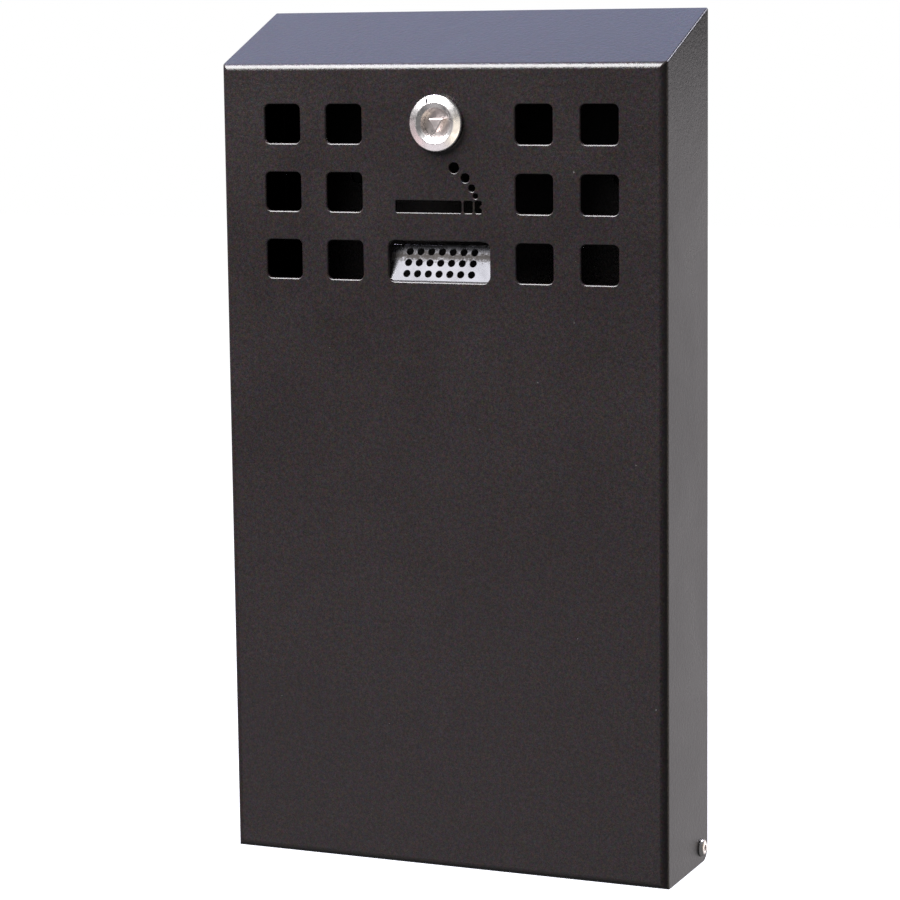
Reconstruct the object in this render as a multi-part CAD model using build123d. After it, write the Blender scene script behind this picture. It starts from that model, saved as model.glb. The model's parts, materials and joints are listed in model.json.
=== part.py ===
from build123d import *
import math
import os

# Wall-mounted cigarette bin: a folded sheet cover hinged at its foot on a wall tray.
# Millimetres.  +Z up, +X to the right seen from the front, the wall is the plane Y = 0
# and the cover's front faces -Y.  Heights below are measured up from the cover's bottom
# edge; save() shifts every piece so that the origin is the centre of the wall fixings.

# ---------------------------------------------------------------- driving dimensions
WIDTH = 245.0            # over the cover's sides
FRONT_HEIGHT = 419.0     # bottom edge to the fold between front and roof
ROOF_RISE = 27.0         # the roof's rear edge above that fold
DEPTH = 66.0             # front face to the cover's rear edge
WALL_GAP = 1.0           # cover's rear edge to the wall
SHEET = 1.5              # cover and wall tray
FOLD_R = 4.0             # outside radius of the cover's folds
SEAM_R = 1.0             # dressed weld between roof and sides
COVER_LIP = 20.0         # return lip under the cover
COVER_FOOT_R = 7.0       # rounded lower rear corner of the sides
EDGE_R = 0.9             # softened rim of the vents and the slot

# openings in the front
VENT = 20.0              # square vents
VENT_CORNER_R = 2.8
VENT_PITCH = 35.0
VENT_INNER_X = 52.5      # centre of the inner column
VENT_COLUMNS = 2
VENT_ROWS = 3
VENT_DROP = 30.0         # top fold to the centre of the top row
SLOT_W = 56.0
SLOT_H = 21.0
SLOT_CORNER_R = 3.5

# cut-out sign: a cigarette with smoke, between the lock and the slot
SIGN_DROP = 71.9         # top fold to the cigarette's axis
SIGN_H = 6.1
SIGN_SPANS = ((-23.7, 12.8), (14.2, 18.9), (20.3, 23.9))
SIGN_CORNER_R = 0.9
SIGN_EDGE_R = 0.6        # softened rim of the sign's cuts
SIGN_EMBER_NOTCH = 1.6
SIGN_SMOKE = ((20.6, 5.6, 2.6), (18.6, 9.6, 3.5), (15.0, 14.7, 4.6), (8.9, 19.8, 5.4))

# stub plate, perforated and leaning back behind the slot
STUB_T = 1.2
STUB_W = 58.0
STUB_LEAN = 23.4         # degrees from upright
STUB_FLANGE = 14.0       # upright flange below the slot
STUB_BEND_RISE = 0.6     # slot's lower edge to the bend
STUB_BEND_R = 2.0
STUB_FOLD = 4.0
STUB_HOLE = 4.0
STUB_PITCH = 6.0
STUB_COLUMNS = 7
STUB_ROWS = 3
STUB_FIRST_ROW = 3.6     # along the lean from the bend
STUB_TOP_MARGIN = 5.0    # top row's centre to the fold
STUB_PATTERN_X = -1.2
STUD_D = 4.0
STUD_L = 8.0
STUD_X = 20.0
STUD_DROP = 8.5          # slot's lower edge to the studs
M4_AF = 7.0
M4_NUT_H = 3.2
M4_WASHER_D = 9.0
M4_WASHER_T = 0.8

# cam lock: a triangle key turns the core by a quarter turn
LOCK_DROP = 29.5         # top fold to the lock's axis
LOCK_BARREL_D = 22.0
LOCK_FLANGE_MARGIN = 3.3  # flange beyond the barrel, all round
LOCK_FLANGE_T = 3.2
LOCK_FLANGE_EDGE = 0.4   # small chamfer on the flange's rim
LOCK_FLANGE_FALL = 1.0   # the face falls this much from the ring to the rim
LOCK_RING_WALL = 2.2     # funnel's rim round the core
LOCK_FUNNEL = 1.3        # depth of the funnel into the bore
LOCK_GASKET_T = 0.8
LOCK_BARREL_REACH = 21.8  # panel's outer face to the barrel's rear end
LOCK_CORE_D = 16.0
LOCK_CORE_HEAD = 4.5
LOCK_SHAFT_D = 12.0
LOCK_RECESS = 6.5        # flange's face to the floor round the key post
KEY_SIDE = 8.0
KEY_POST = 5.0
LOCK_NUT_WALL = 2.5      # at the nut's flats
LOCK_NUT_T = 5.0
TOOTHED_WALL = 3.3
TOOTHED_T = 1.0
TOOTH_COUNT = 18
ORING_D = 0.96
ORING_GROOVE_W = 1.5
CAM_SQUARE = 8.0
CAM_W = 16.0
CAM_T = 3.0
CAM_GAP = 0.2            # barrel's rear end to the cam
CAM_WASHER_D = 14.0
CAM_WASHER_T = 1.0
CAM_SCREW_D = 5.0
CAM_SCREW_L = 12.0
CAM_SCREW_HEAD_D = 9.5
CAM_SCREW_HEAD_H = 2.8

# wall tray
TRAY_SIDE_GAP = 1.0      # cover's inside to the tray's sides, filled by the washers
TRAY_FOOT_GAP = 0.5      # cover's return lip to the tray
TRAY_FLANGE = 25.0       # depth of the side and top flanges
TRAY_FOLD_R = 2.0
SHELF_GAP = 3.0          # cover's return lip to the shelf's front edge
FIXING_D = 7.0
FIXING_INSET_X = 45.0    # from the tray's sides
FIXING_INSET_Z = 56.5    # from the tray's top and bottom
STRIKE_W = 60.0
STRIKE_T = 1.5
STRIKE_FOLD_R = 2.0
STRIKE_GAP = 0.5         # lip to the locked cam
STRIKE_CLEAR = 2.0       # lock barrel to the lip above it
STRIKE_OVERLAP = 8.0     # lip over the locked cam's tip
STRIKE_HEADROOM = 1.5    # cam's tip to the strike's underside
RIVET_D = 4.0
RIVET_HEAD_D = 7.5
RIVET_HEAD_T = 1.1

# hinge at the cover's lower rear corners
PIVOT_INSET = 10.5       # in front of the cover's rear edge
PIVOT_CLEAR = 0.5        # clinch nut to the shelf below it
PIVOT_SCREW_D = 5.0
PIVOT_SCREW_L = 10.0
PIVOT_HEAD_D = 9.5
PIVOT_HEAD_H = 2.1
PIVOT_SOCKET_AF = 3.0
PIVOT_SOCKET_DEPTH = 1.3
BUSH_D = 8.0
PIVOT_WASHER_D = 15.0
CLINCH_D = 9.0
CLINCH_H = 4.0
CLINCH_SHANK_D = 7.0

# liner and its carrying handle
LINER_T = 1.0
LINER_SIDE_GAP = 8.5     # tray's sides to the liner
LINER_FRONT_GAP = 3.0    # cover's inside to the liner
LINER_BACK_GAP = 7.5     # tray's web to the liner, room for the wall screws' heads
LINER_TOP_DROP = 36.5    # slot's lower edge to the liner's rim
LINER_CORNER_R = 3.0
HEM_H = 8.0
HOOK_X = 60.0
HOOK_W = 16.0
HOOK_T = 1.5
HOOK_DROP = 16.0         # liner's rim to the top of the hook's arm
HOOK_TIP = 9.0
HOOK_BASE = 18.0
HOOK_PLAY = 1.5
LIFT = 11.0              # lift that frees the liner from its hooks
EAR_W = 12.0
EAR_T = 1.5
EAR_DROP = 22.0
WIRE_D = 3.0
WIRE_BEND_R = 4.0
WIRE_RIM_GAP = 0.3       # folded handle above the liner's rim
WIRE_END_D = 4.6
WIRE_END_T = 1.0

ROUNDED_HOLE_EDGES = 8   # four sides and four rounded corners

# clearances
RUN = 0.05               # radial, turning fits
SNUG = 0.1               # radial, screws in threads and shanks in their holes
FREE = 0.5               # radial, loose holes

# ---------------------------------------------------------------- derived places
HALF_W = WIDTH / 2
REAR_Y = -WALL_GAP
FRONT_Y = -(WALL_GAP + DEPTH)
PANEL_Y = FRONT_Y + SHEET
SIDE_X = HALF_W - SHEET
LOCK_Z = FRONT_HEIGHT - LOCK_DROP
VENT_TOP_Z = FRONT_HEIGHT - VENT_DROP
SLOT_Z = VENT_TOP_Z - (VENT_ROWS - 1) * VENT_PITCH
SLOT_BOTTOM = SLOT_Z - SLOT_H / 2
SIGN_Z = FRONT_HEIGHT - SIGN_DROP
STUD_Z = SLOT_BOTTOM - STUD_DROP
STUB_BEND_Z = SLOT_BOTTOM + STUB_BEND_RISE
LOCK_FLANGE_D = LOCK_BARREL_D + 2 * LOCK_FLANGE_MARGIN
LOCK_RING_D = LOCK_CORE_D + 2 * LOCK_RING_WALL
LOCK_NUT_AF = LOCK_BARREL_D + 2 * LOCK_NUT_WALL
TOOTHED_D = LOCK_BARREL_D + 2 * TOOTHED_WALL
CAM_REACH = LOCK_BARREL_D / 2 + STRIKE_CLEAR + STRIKE_OVERLAP
CAM_FRONT = -(LOCK_BARREL_REACH + CAM_GAP)
CAM_BACK = CAM_FRONT - CAM_T
TRAY_X = SIDE_X - TRAY_SIDE_GAP
TRAY_BOTTOM = SHEET + TRAY_FOOT_GAP
TRAY_TOP = LOCK_Z + CAM_REACH + STRIKE_HEADROOM + STRIKE_T + SHEET
SHELF_Y = FRONT_Y + COVER_LIP + SHELF_GAP
SHELF_TOP = TRAY_BOTTOM + SHEET
FIXING_X = TRAY_X - FIXING_INSET_X
FIXING_Z = (TRAY_BOTTOM + FIXING_INSET_Z, TRAY_TOP - FIXING_INSET_Z)
DATUM_Z = sum(FIXING_Z) / 2
STRIKE_TOP = TRAY_TOP - SHEET
STRIKE_LIP_Y = FRONT_Y - CAM_FRONT - STRIKE_GAP
STRIKE_BOTTOM = LOCK_Z + CAM_REACH - STRIKE_OVERLAP
PIVOT_Y = REAR_Y - PIVOT_INSET
PIVOT_RISE = SHELF_TOP + PIVOT_CLEAR + CLINCH_D / 2
LINER_X = TRAY_X - SHEET - LINER_SIDE_GAP
LINER_FRONT = PANEL_Y + LINER_FRONT_GAP
LINER_BACK = -(SHEET + LINER_BACK_GAP)
LINER_BOTTOM = SHELF_TOP
LINER_TOP = SLOT_BOTTOM - LINER_TOP_DROP
HOOK_TOP = LINER_TOP - HOOK_DROP
EAR_X = LINER_X - LINER_T
WIRE_Z = LINER_TOP + WIRE_D / 2 + WIRE_RIM_GAP
WIRE_Y = (LINER_FRONT + LINER_BACK) / 2
WIRE_LEG_X = EAR_X - EAR_T - WIRE_BEND_R - FREE
WIRE_REACH = WIRE_Y - LINER_FRONT - LINER_T / 2

# local +Z points out of the cover's front, its zero is the panel's outer face
LOCK_FRAME = Plane(origin=(0, FRONT_Y, LOCK_Z), x_dir=(1, 0, 0), z_dir=(0, -1, 0))


# ---------------------------------------------------------------- shared shapes
def block(low, high):
    """A box from its lowest to its highest corner."""
    size = [high[i] - low[i] for i in range(3)]
    middle = [(high[i] + low[i]) / 2 for i in range(3)]
    return Pos(*middle) * Box(*size)


def cylinder_between(radius, start, end):
    """A cylinder along local Z from height start to height end."""
    return Pos(0, 0, (start + end) / 2) * Cylinder(radius, abs(end - start))


def turned(points):
    """A solid of revolution about Z from (radius, height) points."""
    return revolve(Plane.XZ * make_face(Polyline(*points, close=True)), Axis.Z)


def hexagon_prism(across_flats, start, end):
    """A hexagon bar along local Z."""
    sketch = RegularPolygon(across_flats / 2, 6, major_radius=False)
    return Pos(0, 0, min(start, end)) * extrude(sketch, abs(end - start))


def side_frame(side, x):
    """Local +Z points out through the side at distance x from the middle, on the pivot."""
    return Plane(origin=(side * x, PIVOT_Y, PIVOT_RISE), x_dir=(0, side, 0), z_dir=(side, 0, 0))


def edges_along_x(solid, y, z):
    """The straight edges of a solid that run along X at the given place."""
    found = []
    for edge in solid.edges():
        middle = edge.center()
        along = edge @ 1 - edge @ 0
        if abs(along.Y) + abs(along.Z) < 0.01 and abs(middle.Y - y) + abs(middle.Z - z) < 0.01:
            found.append(edge)
    return found


def rounded_plate(width, height, corner_r, thickness):
    """An upright rounded plate in the XZ plane, centred, thickness along Y."""
    sketch = RectangleRounded(width, height, corner_r)
    return extrude(Plane.XZ * sketch, thickness / 2, both=True)


# ---------------------------------------------------------------- front cover
def cover_profile(inset):
    """The cover's side outline, moved inwards by inset; open towards the wall if inset."""
    slope = math.atan2(ROOF_RISE, DEPTH)
    fold_z = FRONT_HEIGHT - inset * (1 / math.cos(slope) - math.tan(slope))
    rear = REAR_Y if inset == 0 else REAR_Y + SHEET
    rear_z = fold_z + (rear - FRONT_Y - inset) * math.tan(slope)
    return Polyline(
        (FRONT_Y + inset, inset),
        (FRONT_Y + inset, fold_z),
        (rear, rear_z),
        (rear, inset),
        close=True,
    )


def cover_body(inset):
    """The cover's filled shape with its folds rounded, moved inwards by inset."""
    body = extrude(Plane.YZ * make_face(cover_profile(inset)), HALF_W - inset, both=True)
    body = fillet(body.faces().sort_by(Axis.Y)[0].edges(), FOLD_R - inset)
    return body


def roof_seams(body):
    """The edges where the roof meets the two sides."""
    found = []
    for edge in body.edges():
        along = edge @ 1 - edge @ 0
        middle = edge.center()
        if abs(along.Z) > ROOF_RISE / 2 and abs(along.Y) > DEPTH / 2 and abs(abs(middle.X) - HALF_W) < 0.01:
            found.append(edge)
    return found


def vent_places():
    """Centres of the square vents."""
    places = []
    for side in (-1, 1):
        for column in range(VENT_COLUMNS):
            for row in range(VENT_ROWS):
                x = side * (VENT_INNER_X + column * VENT_PITCH)
                places.append((x, VENT_TOP_Z - row * VENT_PITCH))
    return places


def sign_cutter():
    """The cigarette and its smoke, as cutting bars through the front."""
    cutters = []
    for left, right in SIGN_SPANS:
        bar = rounded_plate(right - left, SIGN_H, SIGN_CORNER_R, 4 * SHEET)
        cutters.append(Pos((left + right) / 2, FRONT_Y, SIGN_Z) * bar)
    ember_edge = SIGN_SPANS[-1][1]
    notch = Pos(ember_edge, FRONT_Y, SIGN_Z) * Rot(0, 45, 0) * Box(
        SIGN_EMBER_NOTCH, 8 * SHEET, SIGN_EMBER_NOTCH
    )
    cutters[-1] = cutters[-1] - notch
    for x, rise, diameter in SIGN_SMOKE:
        hole = Cylinder(diameter / 2, 4 * SHEET)
        cutters.append(Pos(x, FRONT_Y, SIGN_Z + rise) * Rot(90, 0, 0) * hole)
    return cutters


def front_hole_cutters():
    """Every opening in the front but the lock's."""
    cutters = []
    for x, z in vent_places():
        cutters.append(Pos(x, FRONT_Y, z) * rounded_plate(VENT, VENT, VENT_CORNER_R, 4 * SHEET))
    cutters.append(Pos(0, FRONT_Y, SLOT_Z) * rounded_plate(SLOT_W, SLOT_H, SLOT_CORNER_R, 4 * SHEET))
    return cutters + sign_cutter()


def front_rims(body, low, high):
    """The rims on the front face of holes of this height; of the notched ember, its lower edge."""
    front = body.faces().sort_by(Axis.Y)[0]
    rims = []
    for wire in front.inner_wires():
        edges = wire.edges()
        if not low < wire.bounding_box().size.Z <= high:
            continue
        if len(edges) <= ROUNDED_HOLE_EDGES:
            rims.extend(edges)
        else:
            rims.append(edges.sort_by(Axis.Z)[0])
    return rims


def front_cover():
    """Front, roof, sides and return lip, folded and welded from one sheet."""
    body = cover_body(0)
    body = fillet(roof_seams(body), SEAM_R)
    body = fillet(edges_along_x(body, REAR_Y, 0), COVER_FOOT_R)
    body -= cover_body(SHEET)
    lip_edge = FRONT_Y + COVER_LIP
    body -= block((-SIDE_X, lip_edge, -SHEET), (SIDE_X, REAR_Y + SHEET, 2 * SHEET))
    for cutter in front_hole_cutters():
        body -= cutter
    body = fillet(front_rims(body, SIGN_H + FREE, FRONT_HEIGHT), EDGE_R)
    body = fillet(front_rims(body, 0, SIGN_H + FREE), SIGN_EDGE_R)
    body -= LOCK_FRAME * cylinder_between(LOCK_BARREL_D / 2 + SNUG, -2 * SHEET, SHEET)
    for side in (-1, 1):
        body -= side_frame(side, SIDE_X) * cylinder_between(BUSH_D / 2 + RUN, -SHEET, 2 * SHEET)
    return body


# ---------------------------------------------------------------- stub plate
def stub_point(along):
    """A point of the stub plate's front surface, at a distance up the lean from the bend."""
    lean = math.radians(STUB_LEAN)
    return (PANEL_Y + along * math.sin(lean), STUB_BEND_Z + along * math.cos(lean))


def stub_plate():
    """Upright flange, leaning perforated face and a stiffening fold at the top."""
    lean = math.radians(STUB_LEAN)
    length = STUB_FIRST_ROW + (STUB_ROWS - 1) * STUB_PITCH + STUB_TOP_MARGIN
    top_y, top_z = stub_point(length)
    line = FilletPolyline(
        (PANEL_Y, SLOT_BOTTOM - STUB_FLANGE),
        (PANEL_Y, STUB_BEND_Z),
        (top_y, top_z),
        (top_y + STUB_FOLD * math.cos(lean), top_z - STUB_FOLD * math.sin(lean)),
        radius=STUB_BEND_R,
    )
    section = make_face(offset(line, STUB_T, side=Side.RIGHT))
    plate = extrude(Plane.YZ * section, STUB_W / 2, both=True)
    for row in range(STUB_ROWS):
        y, z = stub_point(STUB_FIRST_ROW + row * STUB_PITCH)
        for column in range(STUB_COLUMNS):
            x = STUB_PATTERN_X + (column - (STUB_COLUMNS - 1) / 2) * STUB_PITCH
            plate -= Pos(x, y, z) * Rot(90 - STUB_LEAN, 0, 0) * Cylinder(STUB_HOLE / 2, 4 * STUB_T)
    for x in (-STUD_X, STUD_X):
        plate -= Pos(x, PANEL_Y, STUD_Z) * Rot(90, 0, 0) * Cylinder(STUD_D / 2 + SNUG, 4 * STUB_T)
    return plate


def at_studs(make):
    """Two copies of a piece, one on each stud; local +Z points into the cover."""
    pieces = []
    for x in (-STUD_X, STUD_X):
        frame = Plane(origin=(x, PANEL_Y, STUD_Z), x_dir=(1, 0, 0), z_dir=(0, 1, 0))
        pieces.append(frame * make())
    return Compound(children=pieces)


def stub_stud():
    """A weld stud with a chamfered tip."""
    tip = chamfer(cylinder_between(STUD_D / 2, 0, STUD_L).edges().sort_by(Axis.Z)[-1], 0.5)
    return tip


def stub_washer():
    """A plain washer on the stub plate's flange."""
    outer = cylinder_between(M4_WASHER_D / 2, STUB_T, STUB_T + M4_WASHER_T)
    return outer - cylinder_between(STUD_D / 2 + SNUG, 0, 2 * STUD_L)


def stub_nut():
    """A hexagon nut on the stud."""
    seat = STUB_T + M4_WASHER_T
    nut = hexagon_prism(M4_AF, seat, seat + M4_NUT_H)
    nut &= turned(((0, seat), (M4_AF / 2, seat), (M4_AF / 2 + 0.6, seat + 0.5),
                   (M4_AF / 2 + 0.6, seat + M4_NUT_H - 0.5), (M4_AF / 2, seat + M4_NUT_H),
                   (0, seat + M4_NUT_H)))
    return nut - cylinder_between(STUD_D / 2 + SNUG, 0, 2 * STUD_L)


# ---------------------------------------------------------------- lock
LOCK_FACE = LOCK_GASKET_T + LOCK_FLANGE_T
CORE_FLOOR = LOCK_FACE - LOCK_RECESS
CORE_SHOULDER = CORE_FLOOR - LOCK_CORE_HEAD
CORE_END = CAM_BACK + 0.2


def lock_housing():
    """Flange with a coned face and a funnelled bore, and the barrel behind it."""
    rim_r = LOCK_FLANGE_D / 2
    ring_r = LOCK_RING_D / 2
    bore_r = LOCK_CORE_D / 2 + RUN
    shaft_r = LOCK_SHAFT_D / 2 + RUN
    rim_face = LOCK_FACE - LOCK_FLANGE_FALL
    profile = (
        (shaft_r, -LOCK_BARREL_REACH),
        (LOCK_BARREL_D / 2, -LOCK_BARREL_REACH),
        (LOCK_BARREL_D / 2, LOCK_GASKET_T),
        (rim_r, LOCK_GASKET_T),
        (rim_r, rim_face - LOCK_FLANGE_EDGE),
        (rim_r - LOCK_FLANGE_EDGE, rim_face),
        (ring_r + LOCK_FLANGE_EDGE, LOCK_FACE),
        (ring_r, LOCK_FACE),
        (bore_r, LOCK_FACE - LOCK_FUNNEL),
        (bore_r, CORE_SHOULDER - RUN),
        (shaft_r, CORE_SHOULDER - RUN),
    )
    return LOCK_FRAME * turned(profile)


def ring(outer_d, inner_r, start, end):
    """A flat ring along local Z."""
    return cylinder_between(outer_d / 2, start, end) - cylinder_between(inner_r, start - 1, end + 1)


def lock_gasket():
    """Rubber ring between flange and panel."""
    outer = LOCK_FLANGE_D - 1.0
    return LOCK_FRAME * ring(outer, LOCK_BARREL_D / 2 + SNUG, 0, LOCK_GASKET_T)


def lock_toothed_washer():
    """Spring washer with a toothed rim, between panel and nut."""
    back = -(SHEET + TOOTHED_T)
    body = ring(TOOTHED_D, LOCK_BARREL_D / 2 + SNUG, back, -SHEET)
    for index in range(TOOTH_COUNT):
        turn = Rot(0, 0, index * 360 / TOOTH_COUNT)
        body -= turn * Pos(TOOTHED_D / 2, 0, -SHEET) * Box(2.4, 1.2, 4 * TOOTHED_T)
    return LOCK_FRAME * body


def lock_nut():
    """Flat hexagon nut that clamps the housing."""
    seat = -(SHEET + TOOTHED_T)
    nut = hexagon_prism(LOCK_NUT_AF, seat, seat - LOCK_NUT_T)
    corner = LOCK_NUT_AF / 2
    nut &= turned(((0, seat), (corner + 1.2, seat), (corner + 1.2, seat - LOCK_NUT_T + 0.8),
                   (corner, seat - LOCK_NUT_T), (0, seat - LOCK_NUT_T)))
    return LOCK_FRAME * (nut - cylinder_between(LOCK_BARREL_D / 2 + SNUG, seat - 2 * LOCK_NUT_T, 0))


def lock_core():
    """Turning core with the triangle key post, a ring groove and a square tail."""
    head_r = LOCK_CORE_D / 2
    groove_r = head_r - ORING_D - RUN
    middle = (CORE_FLOOR + CORE_SHOULDER) / 2
    half = ORING_GROOVE_W / 2
    profile = (
        (0, -LOCK_BARREL_REACH),
        (LOCK_SHAFT_D / 2, -LOCK_BARREL_REACH),
        (LOCK_SHAFT_D / 2, CORE_SHOULDER),
        (head_r, CORE_SHOULDER),
        (head_r, middle - half),
        (groove_r, middle - half),
        (groove_r, middle + half),
        (head_r, middle + half),
        (head_r, CORE_FLOOR),
        (0, CORE_FLOOR),
    )
    core = turned(profile)
    core += Pos(0, 0, (CORE_END - LOCK_BARREL_REACH) / 2) * Box(
        CAM_SQUARE, CAM_SQUARE, -LOCK_BARREL_REACH - CORE_END
    )
    post = extrude(RegularPolygon(KEY_SIDE / math.sqrt(3), 3, rotation=-90), KEY_POST)
    core += Pos(0, 0, CORE_FLOOR) * chamfer(post.faces().sort_by(Axis.Z)[-1].edges(), 0.4)
    core -= cylinder_between(CAM_SCREW_D / 2 + SNUG, CORE_END - 1, CORE_END + CAM_SCREW_L)
    return LOCK_FRAME * core


def lock_core_oring():
    """Weather ring in the core's groove."""
    major = LOCK_CORE_D / 2 - ORING_D / 2 - RUN / 2
    middle = (CORE_FLOOR + CORE_SHOULDER) / 2
    return LOCK_FRAME * Pos(0, 0, middle) * Torus(major, (ORING_D - RUN) / 2)


def lock_cam():
    """Flat cam pointing left while unlocked."""
    r = CAM_W / 2
    outline = Circle(r) + Pos(-(CAM_REACH) / 2, 0) * Rectangle(CAM_REACH, CAM_W)
    outline -= Rectangle(CAM_SQUARE + 2 * SNUG, CAM_SQUARE + 2 * SNUG)
    cam = Pos(0, 0, CAM_BACK) * extrude(outline, CAM_T)
    tips = [e for e in cam.edges().filter_by(Axis.Z) if e.center().X < -CAM_REACH + 0.1]
    return LOCK_FRAME * fillet(tips, 2.0)


def cam_washer():
    """Washer behind the cam."""
    return LOCK_FRAME * ring(CAM_WASHER_D, CAM_SCREW_D / 2 + SNUG, CAM_BACK - CAM_WASHER_T, CAM_BACK)


def cam_screw():
    """Pan-head screw that holds the cam on the core's tail."""
    seat = CAM_BACK - CAM_WASHER_T
    head = cylinder_between(CAM_SCREW_HEAD_D / 2, seat, seat - CAM_SCREW_HEAD_H)
    head = fillet(head.edges().sort_by(Axis.Z)[0], 1.2)
    head -= Pos(0, 0, seat - CAM_SCREW_HEAD_H) * Box(1.2, 6.5, 2.4)
    head -= Pos(0, 0, seat - CAM_SCREW_HEAD_H) * Box(6.5, 1.2, 2.4)
    shank = cylinder_between(CAM_SCREW_D / 2, seat, seat + CAM_SCREW_L)
    return LOCK_FRAME * (head + shank)


# ---------------------------------------------------------------- wall tray
def tray_block(inset, depth):
    """The tray's filled shape, its rear folds rounded, moved inwards by inset."""
    low = (-TRAY_X + inset, -depth, TRAY_BOTTOM + inset)
    high = (TRAY_X - inset, -inset, TRAY_TOP - inset)
    body = block(low, high)
    return fillet(body.faces().sort_by(Axis.Y)[-1].edges(), TRAY_FOLD_R - inset)


def back_plate():
    """Folded tray: web on the wall, side and top flanges, and the liner's shelf below."""
    depth = -SHELF_Y
    body = tray_block(0, depth) - tray_block(SHEET, depth + SHEET)
    body -= block((-HALF_W, -2 * depth, SHELF_TOP), (HALF_W, -TRAY_FLANGE, FRONT_HEIGHT))
    shelf_x = LINER_X + LINER_SIDE_GAP / 2
    for side in (-1, 1):
        low = (min(side * shelf_x, side * HALF_W), -2 * depth, 0)
        high = (max(side * shelf_x, side * HALF_W), -TRAY_FLANGE, SHELF_TOP + SHEET)
        body -= block(low, high)
    for x in (-FIXING_X, FIXING_X):
        for z in FIXING_Z:
            body -= Pos(x, 0, z) * Rot(90, 0, 0) * Cylinder(FIXING_D / 2, 4 * SHEET)
    for side in (-1, 1):
        body -= side_frame(side, TRAY_X) * cylinder_between(CLINCH_SHANK_D / 2 + SNUG, -2 * SHEET, SHEET)
    for x in strike_rivet_x():
        body -= Pos(x, strike_rivet_y(), TRAY_TOP) * Cylinder(RIVET_D / 2 + SNUG, 4 * SHEET)
    for x in (-HOOK_X, HOOK_X):
        body -= Pos(x, 0, hook_rivet_z()) * Rot(90, 0, 0) * Cylinder(RIVET_D / 2 + SNUG, 4 * SHEET)
    return body


def strike_rivet_x():
    """The two strike rivets' places across the tray."""
    return (-STRIKE_W / 3, STRIKE_W / 3)


def strike_rivet_y():
    """The strike rivets' distance from the wall."""
    return -TRAY_FLANGE / 2


def strike_plate():
    """Bracket under the tray's top flange with the lip that the cam turns behind."""
    line = FilletPolyline(
        (-TRAY_FLANGE / 4, STRIKE_TOP),
        (STRIKE_LIP_Y - STRIKE_T, STRIKE_TOP),
        (STRIKE_LIP_Y - STRIKE_T, STRIKE_BOTTOM),
        radius=STRIKE_FOLD_R + STRIKE_T,
    )
    section = make_face(offset(line, STRIKE_T, side=Side.LEFT))
    plate = extrude(Plane.YZ * section, STRIKE_W / 2, both=True)
    for x in strike_rivet_x():
        plate -= Pos(x, strike_rivet_y(), STRIKE_TOP) * Cylinder(RIVET_D / 2 + SNUG, 4 * STRIKE_T)
    return plate


def rivet(grip):
    """Round-head rivet along Z, clamping from 0 up to grip."""
    shank = cylinder_between(RIVET_D / 2, 0, grip)
    head = cylinder_between(RIVET_HEAD_D / 2, grip, grip + RIVET_HEAD_T)
    head = fillet(head.edges().sort_by(Axis.Z)[-1], RIVET_HEAD_T * 0.7)
    tail = cylinder_between(RIVET_D * 0.75, -RIVET_HEAD_T, 0)
    return shank + head + tail


def strike_rivets():
    """Two rivets through the top flange and the strike."""
    pieces = []
    for x in strike_rivet_x():
        pieces.append(Pos(x, strike_rivet_y(), STRIKE_TOP - STRIKE_T) * rivet(STRIKE_T + SHEET))
    return Compound(children=pieces)


# ---------------------------------------------------------------- liner hooks
def hook_rivet_z():
    """Height of the rivet in a hook's base."""
    return HOOK_TOP - HOOK_T - HOOK_BASE / 2


def liner_hook(side):
    """J-shaped hook on the web whose tip stands inside the liner's rear window."""
    tip_y = LINER_BACK - LINER_T - HOOK_PLAY
    line = FilletPolyline(
        (-SHEET, HOOK_TOP - HOOK_T - HOOK_BASE),
        (-SHEET, HOOK_TOP),
        (tip_y - HOOK_T, HOOK_TOP),
        radius=HOOK_T + 0.5,
    )
    arm = make_face(offset(line, HOOK_T, side=Side.LEFT))
    hook = extrude(Plane.YZ * arm, HOOK_W / 2, both=True)
    tip = block((-HOOK_W / 2, tip_y - HOOK_T, HOOK_TOP - HOOK_T), (HOOK_W / 2, tip_y, HOOK_TOP + HOOK_TIP - HOOK_T))
    hook += tip
    top = [e for e in hook.edges().filter_by(Axis.Y) if e.center().Z > HOOK_TOP + HOOK_TIP - HOOK_T - 0.1]
    hook = fillet(top, HOOK_W / 5)
    hook -= Pos(0, -SHEET, hook_rivet_z()) * Rot(90, 0, 0) * Cylinder(RIVET_D / 2 + SNUG, 4 * HOOK_T)
    return Pos(side * HOOK_X, 0, 0) * hook


def hook_rivets():
    """One rivet through each hook's base and the web, its tail flush in the web."""
    pieces = []
    for side in (-1, 1):
        frame = Plane(origin=(side * HOOK_X, 0, hook_rivet_z()), x_dir=(1, 0, 0), z_dir=(0, -1, 0))
        grip = SHEET + HOOK_T
        shank = cylinder_between(RIVET_D / 2, 0, grip)
        head = cylinder_between(RIVET_HEAD_D / 2, grip, grip + RIVET_HEAD_T)
        head = fillet(head.edges().sort_by(Axis.Z)[-1], RIVET_HEAD_T * 0.7)
        pieces.append(frame * (shank + head))
    return Compound(children=pieces)


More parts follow.
